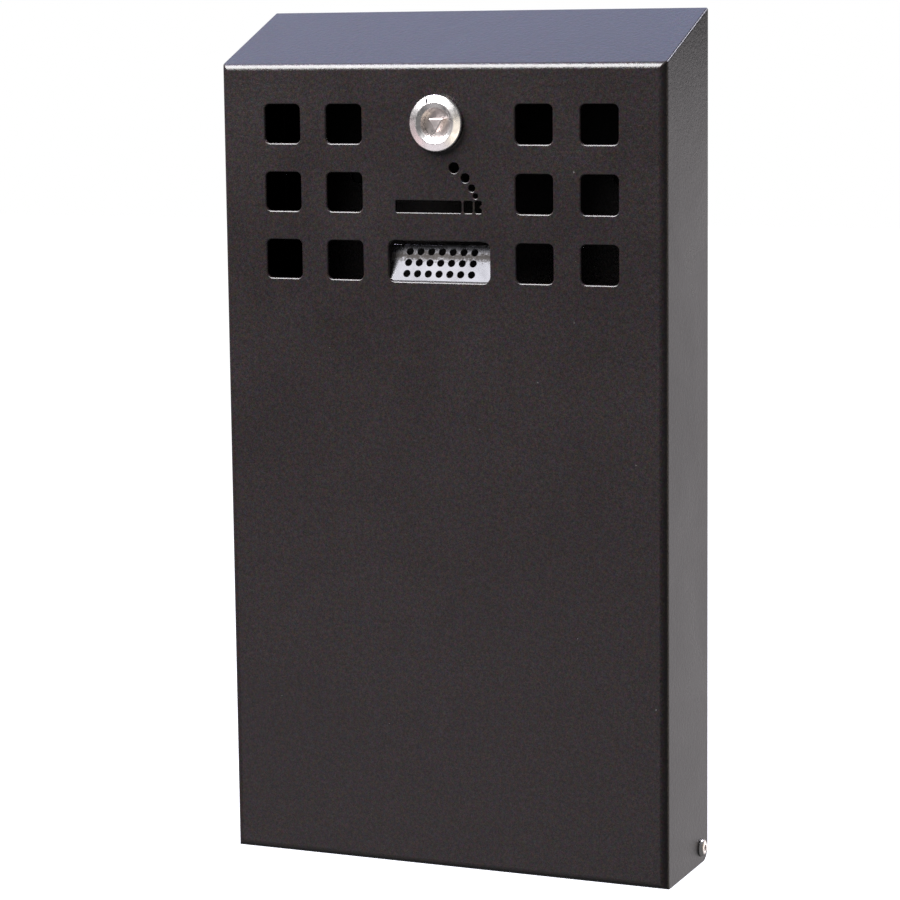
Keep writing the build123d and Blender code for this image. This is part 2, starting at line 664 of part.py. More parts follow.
# ---------------------------------------------------------------- hinge
def pivot_screw(side):
    """Button-head socket screw that clamps the bush on the tray."""
    seat = SHEET + TRAY_SIDE_GAP + SNUG
    r = PIVOT_HEAD_D / 2
    h = PIVOT_HEAD_H
    flat_r = PIVOT_SOCKET_AF * 0.62 + 0.5
    dome = ThreePointArc((r, seat + 0.35), (0.55 * r + 0.45 * flat_r + 0.35, seat + 0.72 * h), (flat_r, seat + h))
    outline = Wire([
        Edge.make_line((0, seat), (r, seat)),
        Edge.make_line((r, seat), (r, seat + 0.35)),
        dome.edge(),
        Edge.make_line((flat_r, seat + h), (0, seat + h)),
        Edge.make_line((0, seat + h), (0, seat)),
    ])
    head = revolve(Plane.XZ * make_face(outline), Axis.Z)
    head -= hexagon_prism(PIVOT_SOCKET_AF, seat + h - PIVOT_SOCKET_DEPTH, seat + h + 1)
    shank = cylinder_between(PIVOT_SCREW_D / 2, seat - PIVOT_SCREW_L, seat)
    return side_frame(side, TRAY_X) * (head + shank)


def pivot_bush(side):
    """Steel sleeve that the cover turns on."""
    length = SHEET + TRAY_SIDE_GAP + SNUG
    return side_frame(side, TRAY_X) * ring(BUSH_D, PIVOT_SCREW_D / 2 + SNUG, 0, length)


def pivot_washer(side):
    """Nylon washer between the tray's side and the cover's side."""
    washer = ring(PIVOT_WASHER_D, BUSH_D / 2 + RUN, 0, TRAY_SIDE_GAP - RUN)
    return side_frame(side, TRAY_X) * washer


def pivot_nut(side):
    """Clinch nut pressed into the tray's side."""
    body = ring(CLINCH_D, PIVOT_SCREW_D / 2 + SNUG, -(SHEET + CLINCH_H), -SHEET)
    body += ring(CLINCH_SHANK_D, PIVOT_SCREW_D / 2 + SNUG, -SHEET - 0.01, -0.1)
    return side_frame(side, TRAY_X) * body


# ---------------------------------------------------------------- liner
def liner_block(inset, top):
    """The liner's filled shape, moved inwards by inset."""
    low = (-LINER_X + inset, LINER_FRONT + inset, LINER_BOTTOM + inset)
    high = (LINER_X - inset, LINER_BACK - inset, top)
    body = block(low, high)
    upright = [e for e in body.edges().filter_by(Axis.Z)]
    body = fillet(upright, LINER_CORNER_R - inset)
    return fillet(body.faces().sort_by(Axis.Z)[0].edges(), LINER_CORNER_R - inset - 0.5)


def liner():
    """Open-topped inner bucket with a hemmed rim and two windows for the hooks."""
    body = liner_block(0, LINER_TOP)
    hem = block(
        (-LINER_X - LINER_T, LINER_FRONT - LINER_T, LINER_TOP - HEM_H),
        (LINER_X + LINER_T, LINER_BACK + LINER_T, LINER_TOP),
    )
    hem = fillet(hem.edges().filter_by(Axis.Z), LINER_CORNER_R + LINER_T)
    body += hem
    body -= liner_block(LINER_T, LINER_TOP + LINER_T)
    window_low = HOOK_TOP - HOOK_T - LIFT - HOOK_PLAY
    window_high = HOOK_TOP + HOOK_PLAY
    for x in (-HOOK_X, HOOK_X):
        low = (x - HOOK_W / 2 - HOOK_PLAY, LINER_BACK - 2 * LINER_T, window_low)
        high = (x + HOOK_W / 2 + HOOK_PLAY, LINER_BACK + 2 * LINER_T, window_high)
        body -= block(low, high)
    for side in (-1, 1):
        for y in ear_rivet_y():
            hole = Rot(0, 90, 0) * Cylinder(RIVET_D / 2 + SNUG, 4 * LINER_T)
            body -= Pos(side * LINER_X, y, ear_rivet_z()) * hole
    return body


def ear_rivet_y():
    """The ear rivets' places from front to back."""
    return (WIRE_Y,)


def ear_rivet_z():
    """Height of the ear rivets."""
    return LINER_TOP - EAR_DROP / 2 - 2


def handle_ear(side):
    """Lug inside the liner's end wall; its rounded top stands over the rim."""
    outline = Pos(0, -EAR_DROP / 2) * Rectangle(EAR_W, EAR_DROP) + Circle(EAR_W / 2)
    outline -= Circle(WIRE_D / 2 + SNUG)
    outline -= Pos(0, ear_rivet_z() - WIRE_Z) * Circle(RIVET_D / 2 + SNUG)
    frame = Plane(origin=(side * EAR_X, WIRE_Y, WIRE_Z), x_dir=(0, side, 0), z_dir=(side, 0, 0))
    return frame * Pos(0, 0, -EAR_T) * extrude(outline, EAR_T)


def ear_rivets():
    """Rivets through the liner's end walls and the ears."""
    pieces = []
    for side in (-1, 1):
        for y in ear_rivet_y():
            start = EAR_X - EAR_T
            frame = Plane(origin=(side * start, y, ear_rivet_z()), x_dir=(0, side, 0), z_dir=(side, 0, 0))
            pieces.append(frame * rivet(EAR_T + LINER_T))
    return Compound(children=pieces)


def liner_handle():
    """Bail of bent wire that lies on the liner's front rim when folded."""
    end_x = LINER_X + LINER_T + FREE
    path = FilletPolyline(
        (-end_x, WIRE_Y, WIRE_Z),
        (-WIRE_LEG_X, WIRE_Y, WIRE_Z),
        (-WIRE_LEG_X, WIRE_Y - WIRE_REACH, WIRE_Z),
        (WIRE_LEG_X, WIRE_Y - WIRE_REACH, WIRE_Z),
        (WIRE_LEG_X, WIRE_Y, WIRE_Z),
        (end_x, WIRE_Y, WIRE_Z),
        radius=WIRE_BEND_R,
    )
    start = Plane(origin=(-end_x, WIRE_Y, WIRE_Z), z_dir=(1, 0, 0))
    wire = sweep(start * Circle(WIRE_D / 2), path=path)
    for side in (-1, 1):
        frame = Plane(origin=(side * end_x, WIRE_Y, WIRE_Z), z_dir=(side, 0, 0))
        wire += frame * cylinder_between(WIRE_END_D / 2, 0, WIRE_END_T)
    return wire


# ---------------------------------------------------------------- writing the pieces
def save(name, shape):
    """Write one node with the origin moved to the centre of the wall fixings."""
    export_step(Pos(0, 0, -DATUM_Z) * shape, "parts/" + name + ".step")


def main():
    """Build every piece and write it."""
    os.makedirs("parts", exist_ok=True)
    save("front_cover", front_cover())
    save("stub_plate", stub_plate())
    save("stub_studs", at_studs(stub_stud))
    save("stub_washers", at_studs(stub_washer))
    save("stub_nuts", at_studs(stub_nut))
    save("lock_housing", lock_housing())
    save("lock_gasket", lock_gasket())
    save("lock_toothed_washer", lock_toothed_washer())
    save("lock_nut", lock_nut())
    save("lock_core", lock_core())
    save("lock_core_oring", lock_core_oring())
    save("lock_cam", lock_cam())
    save("cam_washer", cam_washer())
    save("cam_screw", cam_screw())
    save("back_plate", back_plate())
    save("strike_plate", strike_plate())
    save("strike_rivets", strike_rivets())
    save("hook_rivets", hook_rivets())
    save("liner", liner())
    save("ear_rivets", ear_rivets())
    save("liner_handle", liner_handle())
    for side, word in ((-1, "left"), (1, "right")):
        save("liner_hook_" + word, liner_hook(side))
        save("pivot_screw_" + word, pivot_screw(side))
        save("pivot_bush_" + word, pivot_bush(side))
        save("pivot_washer_" + word, pivot_washer(side))
        save("pivot_nut_" + word, pivot_nut(side))
        save("handle_ear_" + word, handle_ear(side))


if __name__ == "__main__":
    main()
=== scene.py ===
"""Looks of a wall-mounted cigarette bin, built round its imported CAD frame."""

import json
import logging
import math
from dataclasses import dataclass
from enum import Enum

import bmesh
import bpy
from mathutils import Matrix, Vector


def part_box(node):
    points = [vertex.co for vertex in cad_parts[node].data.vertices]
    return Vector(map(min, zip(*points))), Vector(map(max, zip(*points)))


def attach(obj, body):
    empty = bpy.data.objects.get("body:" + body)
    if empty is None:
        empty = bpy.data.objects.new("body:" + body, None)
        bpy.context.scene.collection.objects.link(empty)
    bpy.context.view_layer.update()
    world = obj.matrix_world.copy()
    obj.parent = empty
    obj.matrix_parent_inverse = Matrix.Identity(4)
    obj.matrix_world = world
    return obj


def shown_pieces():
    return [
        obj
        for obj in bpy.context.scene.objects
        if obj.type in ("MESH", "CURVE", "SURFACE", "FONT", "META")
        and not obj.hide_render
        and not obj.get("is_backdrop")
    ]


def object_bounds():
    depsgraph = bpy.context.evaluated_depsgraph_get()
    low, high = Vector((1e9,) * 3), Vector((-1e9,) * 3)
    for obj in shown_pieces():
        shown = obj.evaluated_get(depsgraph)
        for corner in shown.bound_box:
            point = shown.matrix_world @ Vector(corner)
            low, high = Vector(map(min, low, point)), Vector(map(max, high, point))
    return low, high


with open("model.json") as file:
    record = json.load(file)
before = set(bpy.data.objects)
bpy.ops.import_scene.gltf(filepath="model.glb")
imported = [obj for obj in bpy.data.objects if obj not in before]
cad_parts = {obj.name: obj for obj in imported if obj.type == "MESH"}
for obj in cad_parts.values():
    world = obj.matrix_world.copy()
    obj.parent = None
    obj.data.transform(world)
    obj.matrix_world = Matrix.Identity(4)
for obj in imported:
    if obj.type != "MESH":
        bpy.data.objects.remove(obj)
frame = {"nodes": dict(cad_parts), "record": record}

CAD_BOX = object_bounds()
LOG = logging.getLogger("ashtray_bin")
MM = 0.001

NOISE_SPAN = (0.3, 0.7)
TIGHT_SPAN = (0.35, 0.65)

Colour = tuple[float, float, float]


# ------------------------------------------------------------------ shader tools
class Wiring:
    """Adds and joins nodes in one node tree."""

    def __init__(self, tree: bpy.types.NodeTree) -> None:
        """Take over the tree and empty it.

        Args:
            tree: The node tree of a material, a world or a group.
        """
        self.tree = tree
        self.tree.nodes.clear()

    def add(self, kind: str, **settings: object) -> bpy.types.Node:
        """Add one node.

        Args:
            kind: The node's class without its "ShaderNode" prefix, or the whole class name.
            settings: Properties of the node, or values of its inputs by lower-case name.

        Returns:
            The new node.
        """
        full = kind if kind.startswith("Node") else "ShaderNode" + kind
        node = self.tree.nodes.new(full)
        for name, value in settings.items():
            if hasattr(node, name):
                setattr(node, name, value)
            else:
                node.inputs[name.replace("_", " ").title()].default_value = value
        return node

    def join(self, source: bpy.types.NodeSocket, target: bpy.types.NodeSocket) -> None:
        """Link an output to an input."""
        self.tree.links.new(source, target)

    def maths(self, operation: str, first: object, second: object = 0.0) -> bpy.types.NodeSocket:
        """Add a Math node.

        Args:
            operation: The Math node's operation.
            first: A socket or a number.
            second: A socket or a number.

        Returns:
            The node's output.
        """
        node = self.add("Math", operation=operation)
        for index, value in enumerate((first, second)):
            if isinstance(value, bpy.types.NodeSocket):
                self.join(value, node.inputs[index])
            else:
                node.inputs[index].default_value = float(value)
        return node.outputs[0]

    def ramp(self, value: bpy.types.NodeSocket, low: float, high: float,
             to_low: float = 0.0, to_high: float = 1.0) -> bpy.types.NodeSocket:
        """Map a value from one span to another, clamped.

        Args:
            value: The value to map.
            low: Value that gives to_low.
            high: Value that gives to_high.
            to_low: Result at the low end.
            to_high: Result at the high end.

        Returns:
            The mapped value.
        """
        node = self.add("MapRange")
        self.join(value, node.inputs["Value"])
        for name, number in (("From Min", low), ("From Max", high), ("To Min", to_low), ("To Max", to_high)):
            node.inputs[name].default_value = number
        return node.outputs["Result"]

    def blend(self, share: object, first: object, second: object, mode: str = "MIX") -> bpy.types.NodeSocket:
        """Mix two colours.

        Args:
            share: Socket or number, 0 for the first colour and 1 for the second.
            first: Socket or RGB colour.
            second: Socket or RGB colour.
            mode: The Mix node's blend type.

        Returns:
            The mixed colour.
        """
        node = self.add("Mix", data_type="RGBA", blend_type=mode)
        for index, value in ((0, share), (6, first), (7, second)):
            if isinstance(value, bpy.types.NodeSocket):
                self.join(value, node.inputs[index])
            elif index == 0:
                node.inputs[index].default_value = float(value)
            else:
                node.inputs[index].default_value = (*value, 1.0)
        return node.outputs[2]


class Effect(Enum):
    """The shader effects that more than one finish uses."""

    GRAIN = "coat_grain"
    TINT = "pigment_tint"
    CLOUD = "soft_cloud"
    SPECKS = "stray_specks"
    STREAKS = "drawn_streaks"
    BAND = "height_band"


class Effects:
    """Builds each shared effect once, as a node group with named inputs and outputs."""

    def __init__(self) -> None:
        """Build every group."""
        self.groups: dict[Effect, bpy.types.NodeTree] = {
            Effect.GRAIN: self.grain(),
            Effect.TINT: self.tint(),
            Effect.CLOUD: self.cloud(),
            Effect.SPECKS: self.specks(),
            Effect.STREAKS: self.streaks(),
            Effect.BAND: self.band(),
        }

    @staticmethod
    def start(effect: Effect, inputs: dict[str, float], outputs: tuple[str, ...]) -> tuple:
        """Open a group with a position input, number inputs and number outputs.

        Args:
            effect: The group's effect, which names it.
            inputs: Name and default of each number input.
            outputs: Names of the number outputs.

        Returns:
            The group's wiring, its input node and its output node.
        """
        tree = bpy.data.node_groups.new(effect.value, "ShaderNodeTree")
        tree.interface.new_socket("Position", in_out="INPUT", socket_type="NodeSocketVector")
        for name, value in inputs.items():
            socket = tree.interface.new_socket(name, in_out="INPUT", socket_type="NodeSocketFloat")
            socket.default_value = value
        for name in outputs:
            tree.interface.new_socket(name, in_out="OUTPUT", socket_type="NodeSocketFloat")
        wiring = Wiring(tree)
        return wiring, wiring.add("NodeGroupInput"), wiring.add("NodeGroupOutput")

    def grain(self) -> bpy.types.NodeTree:
        """Orange peel with a finer grain on it, for sprayed and baked coats.

        Returns:
            The group.
        """
        inputs = {"Peel": 600.0, "Fine": 2500.0, "Share": 0.5}
        w, given, result = self.start(Effect.GRAIN, inputs, ("Height", "Tone"))
        heights = []
        for name, detail in (("Peel", 2.0), ("Fine", 3.0)):
            noise = w.add("TexNoise", detail=detail, roughness=0.55)
            w.join(given.outputs["Position"], noise.inputs["Vector"])
            w.join(given.outputs[name], noise.inputs["Scale"])
            heights.append(noise.outputs[0])
        fine = w.maths("MULTIPLY", heights[1], given.outputs["Share"])
        w.join(w.maths("ADD", heights[0], fine), result.inputs["Height"])
        w.join(w.ramp(heights[1], *NOISE_SPAN), result.inputs["Tone"])
        return w.tree

    def tint(self) -> bpy.types.NodeTree:
        """Slight drift of hue between neighbouring grains of pigment.

        Returns:
            The group.
        """
        w, given, result = self.start(Effect.TINT, {"Scale": 500.0, "Spread": 0.3}, ())
        w.tree.interface.new_socket("Colour", in_out="OUTPUT", socket_type="NodeSocketColor")
        noise = w.add("TexNoise", detail=2.0, roughness=0.6)
        w.join(given.outputs["Position"], noise.inputs["Vector"])
        w.join(given.outputs["Scale"], noise.inputs["Scale"])
        bold = w.blend(1.0, noise.outputs[1], (2.0, 2.0, 2.0), "MULTIPLY")
        w.join(w.blend(given.outputs["Spread"], (1.0, 1.0, 1.0), bold), result.inputs["Colour"])
        return w.tree

    def cloud(self) -> bpy.types.NodeTree:
        """Slow, soft variation, for handling marks and uneven baking.

        Returns:
            The group.
        """
        w, given, result = self.start(Effect.CLOUD, {"Scale": 20.0}, ("Value",))
        noise = w.add("TexNoise", detail=4.0, roughness=0.6, distortion=0.6)
        w.join(given.outputs["Position"], noise.inputs["Vector"])
        w.join(given.outputs["Scale"], noise.inputs["Scale"])
        w.join(w.ramp(noise.outputs[0], *NOISE_SPAN), result.inputs["Value"])
        return w.tree

    def specks(self) -> bpy.types.NodeTree:
        """Sparse small dots: dust in the coat, pits and scuffs.

        Returns:
            The group.
        """
        w, given, result = self.start(Effect.SPECKS, {"Scale": 120.0, "Size": 0.06, "Share": 0.1}, ("Mask",))
        cells = w.add("TexVoronoi")
        w.join(given.outputs["Position"], cells.inputs["Vector"])
        w.join(given.outputs["Scale"], cells.inputs["Scale"])
        chosen = w.add("SeparateColor")
        w.join(cells.outputs["Color"], chosen.inputs[0])
        picked = w.maths("LESS_THAN", chosen.outputs[0], given.outputs["Share"])
        ragged = w.add("TexNoise", detail=2.0)
        w.join(given.outputs["Position"], ragged.inputs["Vector"])
        w.join(w.maths("MULTIPLY", given.outputs["Scale"], 12.0), ragged.inputs["Scale"])
        size = w.maths("MULTIPLY", w.ramp(ragged.outputs[0], *TIGHT_SPAN, 0.2, 1.4), given.outputs["Size"])
        near = w.maths("LESS_THAN", cells.outputs["Distance"], size)
        w.join(w.maths("MULTIPLY", picked, near), result.inputs["Mask"])
        return w.tree

    def streaks(self) -> bpy.types.NodeTree:
        """Long fine lines along local X of the given position, for rolled and brushed sheet.

        Returns:
            The group.
        """
        w, given, result = self.start(Effect.STREAKS, {"Scale": 1500.0, "Stretch": 0.03}, ("Height", "Tone"))
        squash = w.add("CombineXYZ")
        w.join(given.outputs["Stretch"], squash.inputs[0])
        squash.inputs[1].default_value = 1.0
        squash.inputs[2].default_value = 1.0
        product = w.add("VectorMath", operation="MULTIPLY")
        w.join(given.outputs["Position"], product.inputs[0])
        w.join(squash.outputs[0], product.inputs[1])
        noise = w.add("TexNoise", detail=3.0, roughness=0.7)
        w.join(product.outputs[0], noise.inputs["Vector"])
        w.join(given.outputs["Scale"], noise.inputs["Scale"])
        w.join(noise.outputs[0], result.inputs["Height"])
        w.join(w.ramp(noise.outputs[0], *TIGHT_SPAN), result.inputs["Tone"])
        return w.tree

    def band(self) -> bpy.types.NodeTree:
        """A ragged band round one height, for soot, dust and splash lines.

        Returns:
            The group.
        """
        w, given, result = self.start(Effect.BAND, {"Height": 0.0, "Spread": 0.01, "Scale": 200.0}, ("Mask",))
        parts = w.add("SeparateXYZ")
        w.join(given.outputs["Position"], parts.inputs[0])
        away = w.maths("ABSOLUTE", w.maths("SUBTRACT", parts.outputs[2], given.outputs["Height"]))
        share = w.maths("DIVIDE", away, given.outputs["Spread"])
        noise = w.add("TexNoise", detail=5.0, roughness=0.7)
        w.join(given.outputs["Position"], noise.inputs["Vector"])
        w.join(given.outputs["Scale"], noise.inputs["Scale"])
        ragged = w.maths("SUBTRACT", w.ramp(noise.outputs[0], *NOISE_SPAN, 0.2, 1.3), share)
        w.join(w.ramp(ragged, 0.0, 0.6), result.inputs["Mask"])
        return w.tree


EFFECTS = Effects()


class Surface(Wiring):
    """A material with one Principled shader, its position and its bump chain."""

    def __init__(self, name: str) -> None:
        """Make the material.

        Args:
            name: The material's name.
        """
        self.material = bpy.data.materials.new(name)
        self.material.use_nodes = True
        super().__init__(self.material.node_tree)
        self.shader = self.add("BsdfPrincipled")
        self.output = self.add("OutputMaterial")
        self.join(self.shader.outputs[0], self.output.inputs["Surface"])
        self.place = self.add("TexCoord").outputs["Object"]

    def effect(self, effect: Effect, **values: float) -> bpy.types.Node:
        """Place a shared effect.

        Args:
            effect: Which effect.
            values: The group's inputs by lower-case name.

        Returns:
            The group node.
        """
        node = self.add("Group")
        node.node_tree = EFFECTS.groups[effect]
        self.join(self.place, node.inputs["Position"])
        for name, value in values.items():
            node.inputs[name.title()].default_value = value
        return node

    def bump(self, height: bpy.types.NodeSocket, depth: float, strength: float) -> bpy.types.NodeSocket:
        """Add a bump.

        Args:
            height: The height value.
            depth: Depth in metres of a height of 1.
            strength: The bump's strength.

        Returns:
            The bumped normal.
        """
        node = self.add("Bump")
        node.inputs["Strength"].default_value = strength
        node.inputs["Distance"].default_value = depth
        self.join(height, node.inputs["Height"])
        return node.outputs[0]

    def fix(self, **values: float) -> None:
        """Set constants on the Principled shader, by lower-case socket name."""
        for name, value in values.items():
            words = name.replace("_", " ").title().replace("Ior", "IOR")
            self.shader.inputs[words].default_value = value

    def drive(self, name: str, source: bpy.types.NodeSocket) -> None:
        """Link a varying value to one of the Principled shader's sockets."""
        self.join(source, self.shader.inputs[name])


# ------------------------------------------------------------------ finishes
@dataclass(frozen=True)
class PowderCoat:
    """Baked polyester powder on sheet steel: dark, satin, with peel, grain and dust nibs."""

    name: str
    colour: Colour = (0.0040, 0.0026, 0.0028)
    pale: Colour = (0.0225, 0.0160, 0.0168)
    nib: Colour = (0.075, 0.070, 0.070)
    roughness: float = 0.29
    gloss: float = 0.5
    peel: float = 520.0
    fine: float = 1500.0
    depth: float = 0.00017
    nib_share: float = 0.10

    def build(self) -> bpy.types.Material:
        """Make the coat's material.

        Returns:
            The material.
        """
        s = Surface(self.name)
        grain = s.effect(Effect.GRAIN, peel=self.peel, fine=self.fine, share=0.55)
        cloud = s.effect(Effect.CLOUD, scale=14.0)
        nibs = s.effect(Effect.SPECKS, scale=95.0, size=0.045, share=self.nib_share)
        tone = s.maths("MULTIPLY", grain.outputs["Tone"], s.ramp(cloud.outputs[0], 0.0, 1.0, 0.75, 1.0))
        tint = s.effect(Effect.TINT, scale=520.0, spread=1.0)
        colour = s.blend(1.0, s.blend(tone, self.colour, self.pale), tint.outputs[0], "MULTIPLY")
        s.drive("Base Color", s.blend(nibs.outputs[0], colour, self.nib))
        rough = s.ramp(cloud.outputs[0], 0.0, 1.0, self.roughness - 0.03, self.roughness + 0.04)
        s.drive("Roughness", rough)
        s.drive("Normal", s.bump(grain.outputs["Height"], self.depth, 0.7))
        s.fix(ior=1.5, specular_ior_level=self.gloss)
        return s.material


@dataclass(frozen=True)
class SheetMetal:
    """Rolled bright sheet with drawn lines, light stains and a soft sheen."""

    name: str
    colour: Colour = (0.74, 0.72, 0.73)
    stain: Colour = (0.30, 0.25, 0.20)
    roughness: float = 0.24
    stain_height: float = 0.0
    stain_spread: float = 0.004

    def build(self) -> bpy.types.Material:
        """Make the sheet's material.

        Returns:
            The material.
        """
        s = Surface(self.name)
        lines = s.effect(Effect.STREAKS, scale=2600.0, stretch=0.025)
        cloud = s.effect(Effect.CLOUD, scale=70.0)
        stain = s.effect(Effect.BAND, height=self.stain_height, spread=self.stain_spread, scale=900.0)
        tone = s.ramp(lines.outputs["Tone"], 0.0, 1.0, 0.86, 1.0)
        bright = s.blend(tone, tuple(0.8 * c for c in self.colour), self.colour)
        s.drive("Base Color", s.blend(s.ramp(stain.outputs[0], 0.0, 1.0, 0.0, 0.75), bright, self.stain))
        rough = s.ramp(cloud.outputs[0], 0.0, 1.0, self.roughness - 0.05, self.roughness + 0.1)
        s.drive("Roughness", s.maths("ADD", rough, s.ramp(stain.outputs[0], 0.0, 1.0, 0.0, 0.3)))
        s.drive("Normal", s.bump(lines.outputs["Height"], 0.00002, 0.5))
        s.fix(metallic=1.0)
        return s.material


@dataclass(frozen=True)
class Plated:
    """Nickel or zinc plate on a turned or pressed part: fine turning lines and faint pits."""

    name: str
    colour: Colour = (0.84, 0.82, 0.80)
    dull: Colour = (0.50, 0.46, 0.46)
    roughness: float = 0.2
    line_scale: float = 1800.0
    dull_share: float = 0.35
    pit_share: float = 0.08
    mark: tuple[float, float, float] = (0.0, 0.0, 0.0)
    mark_turn: float = 0.0
    mark_half: tuple[float, float] = (0.0, 0.0)

    def build(self) -> bpy.types.Material:
        """Make the plate's material.

        Returns:
            The material.
        """
        s = Surface(self.name)
        grain = s.effect(Effect.GRAIN, peel=self.line_scale * 0.4, fine=self.line_scale * 2.0, share=0.4)
        cloud = s.effect(Effect.CLOUD, scale=260.0)
        pits = s.effect(Effect.SPECKS, scale=700.0, size=0.10, share=self.pit_share)
        share = s.ramp(cloud.outputs[0], 0.35, 1.0, 0.0, self.dull_share)
        plate = s.blend(share, self.colour, self.dull)
        plate = s.blend(s.ramp(pits.outputs[0], 0.0, 1.0, 0.0, 0.5), plate, self.dull)
        if self.mark_half[0] > 0:
            plate = s.blend(self.dash(s), plate, (0.02, 0.018, 0.02))
        s.drive("Base Color", plate)
        s.drive("Roughness", s.ramp(cloud.outputs[0], 0.0, 1.0, self.roughness - 0.05, self.roughness + 0.12))
        s.drive("Normal", s.bump(grain.outputs["Height"], 0.00002, 0.35))
        s.fix(metallic=1.0)
        return s.material

    def dash(self, s: Surface) -> bpy.types.NodeSocket:
        """The mask of a short painted index dash on the face.

        Args:
            s: The surface that the dash is painted on.

        Returns:
            The mask, 1 inside the dash.
        """
        mapping = s.add("Mapping", vector_type="TEXTURE")
        mapping.inputs["Location"].default_value = self.mark
        mapping.inputs["Rotation"].default_value = (0.0, self.mark_turn, 0.0)
        mapping.inputs["Scale"].default_value = (self.mark_half[0], 1.0, self.mark_half[1])
        s.join(s.place, mapping.inputs["Vector"])
        away = s.add("VectorMath", operation="LENGTH")
        s.join(mapping.outputs[0], away.inputs[0])
        return s.ramp(away.outputs["Value"], 0.8, 1.1, 1.0, 0.0)


@dataclass(frozen=True)
class Galvanised:
    """Hot-dip galvanised sheet: spangle in flat grey tones, with ash dust low down."""

    name: str
    light: Colour = (0.56, 0.58, 0.60)
    dark: Colour = (0.36, 0.38, 0.41)
    ash: Colour = (0.22, 0.20, 0.18)
    spangle: float = 110.0
    roughness: float = 0.38
    ash_height: float = -0.2

    def build(self) -> bpy.types.Material:
        """Make the galvanised material.

        Returns:
            The material.
        """
        s = Surface(self.name)
        cells = s.add("TexVoronoi")
        cells.inputs["Scale"].default_value = self.spangle
        cells.inputs["Randomness"].default_value = 1.0
        warp = s.effect(Effect.CLOUD, scale=120.0)
        moved = s.add("VectorMath", operation="ADD")
        s.join(s.place, moved.inputs[0])
        s.join(s.maths("MULTIPLY", warp.outputs[0], 0.004), moved.inputs[1])
        s.join(moved.outputs[0], cells.inputs["Vector"])
        tone = s.add("SeparateColor")
        s.join(cells.outputs["Color"], tone.inputs[0])
        lines = s.effect(Effect.STREAKS, scale=1200.0, stretch=0.05)
        flakes = s.blend(tone.outputs[0], self.dark, self.light)
        ash = s.effect(Effect.BAND, height=self.ash_height, spread=0.05, scale=60.0)
        s.drive("Base Color", s.blend(s.ramp(ash.outputs[0], 0.0, 1.0, 0.0, 0.6), flakes, self.ash))
        s.drive("Roughness", s.ramp(tone.outputs[1], 0.0, 1.0, self.roughness - 0.08, self.roughness + 0.1))
        s.drive("Normal", s.bump(lines.outputs["Height"], 0.00002, 0.4))
        s.fix(metallic=1.0)
        return s.material


@dataclass(frozen=True)
class Moulded:
    """Moulded nylon or rubber with a fine matt grain."""

    name: str
    colour: Colour
    roughness: float = 0.5
    grain: float = 1500.0

    def build(self) -> bpy.types.Material:
        """Make the moulded material.

        Returns:
            The material.
        """
        s = Surface(self.name)
        grain = s.effect(Effect.GRAIN, peel=self.grain * 0.4, fine=self.grain, share=0.7)
        low = tuple(0.8 * c for c in self.colour)
        s.drive("Base Color", s.blend(grain.outputs["Tone"], low, self.colour))
        rough = s.ramp(grain.outputs["Tone"], 0.0, 1.0, self.roughness - 0.06, self.roughness + 0.08)
        s.drive("Roughness", rough)
        s.drive("Normal", s.bump(grain.outputs["Height"], 0.00003, 0.4))
        return s.material


# ------------------------------------------------------------------ mesh tools
def record_slot(node: str) -> str:
    """Look up the material slot of a CAD node in the record.

    Args:
        node: The node's name.

    Returns:
        The slot's name.
    """
    for part in frame["record"]["subparts"]:
        if part["node"] == node:
            return part["material_slot"]
    raise KeyError(node)


def make_piece(name: str, shape: bmesh.types.BMesh, finish: bpy.types.Material,
               body: str, sharp: float = 35.0) -> bpy.types.Object:
    """Turn a bmesh into a finished piece that rides on a body.

    Args:
        name: The piece's name.
        shape: Its mesh, in metres and in the frame's place; it is freed.
        finish: Its material.
        body: The body that it rides on.
        sharp: Edges that turn by more than this many degrees stay sharp.

    Returns:
        The new object.
    """
    for face in shape.faces:
        face.smooth = True
    mesh = bpy.data.meshes.new(name)
    shape.to_mesh(mesh)
    shape.free()
    mesh.set_sharp_from_angle(angle=math.radians(sharp))
    mesh.materials.append(finish)
    piece = bpy.data.objects.new(name, mesh)
    bpy.context.scene.collection.objects.link(piece)
    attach(piece, body)
    LOG.info("%s: %d faces on %s", name, len(mesh.polygons), body)
    return piece


THREAD_FLANK = (0.05, 0.5, 0.95)


def thread(radius: float, depth: float, pitch: float, start: Vector, along: Vector, length: float,
           steps_a_turn: int = 28) -> bmesh.types.BMesh:
    """A helical thread ridge round a shank.

    Args:
        radius: Root radius, a little inside the shank's surface.
        depth: Height of the ridge.
        pitch: Distance between turns.
        start: Point on the axis where the thread starts.
        along: Unit vector of the axis.
        length: Length along the axis.
        steps_a_turn: Steps of one turn.

    Returns:
        The ridge as a closed mesh.
    """
    shape = bmesh.new()
    side = along.orthogonal().normalized()
    low, crest, high = (share * pitch for share in THREAD_FLANK)
    corners = ((radius, low), (radius + depth, crest), (radius, high))
    ring = [shape.verts.new(start + side * out + along * up) for out, up in corners]
    edges = [shape.edges.new((ring[i], ring[(i + 1) % 3])) for i in range(3)]
    turns = max(1.0, length / pitch - 1.0)
    steps = int(turns * steps_a_turn)
    made = bmesh.ops.spin(
        shape, geom=ring + edges, cent=start, axis=along, dvec=along * (turns * pitch / steps),
        angle=2 * math.pi * turns, steps=steps, use_merge=False, use_duplicate=False,
    )
    last = [v for v in made["geom_last"] if isinstance(v, bmesh.types.BMVert)]
    shape.faces.new(ring)
    shape.faces.new(last)
    bmesh.ops.recalc_face_normals(shape, faces=shape.faces)
    return shape


BEAD_SIDES = 10
BEAD_STEPS = 3
BEAD_START = 0.6
BEAD_END = 0.5
BEAD_WAVE = 0.22
BEAD_UNEVEN = 0.06
BEAD_UNEVEN_TURN = 0.7


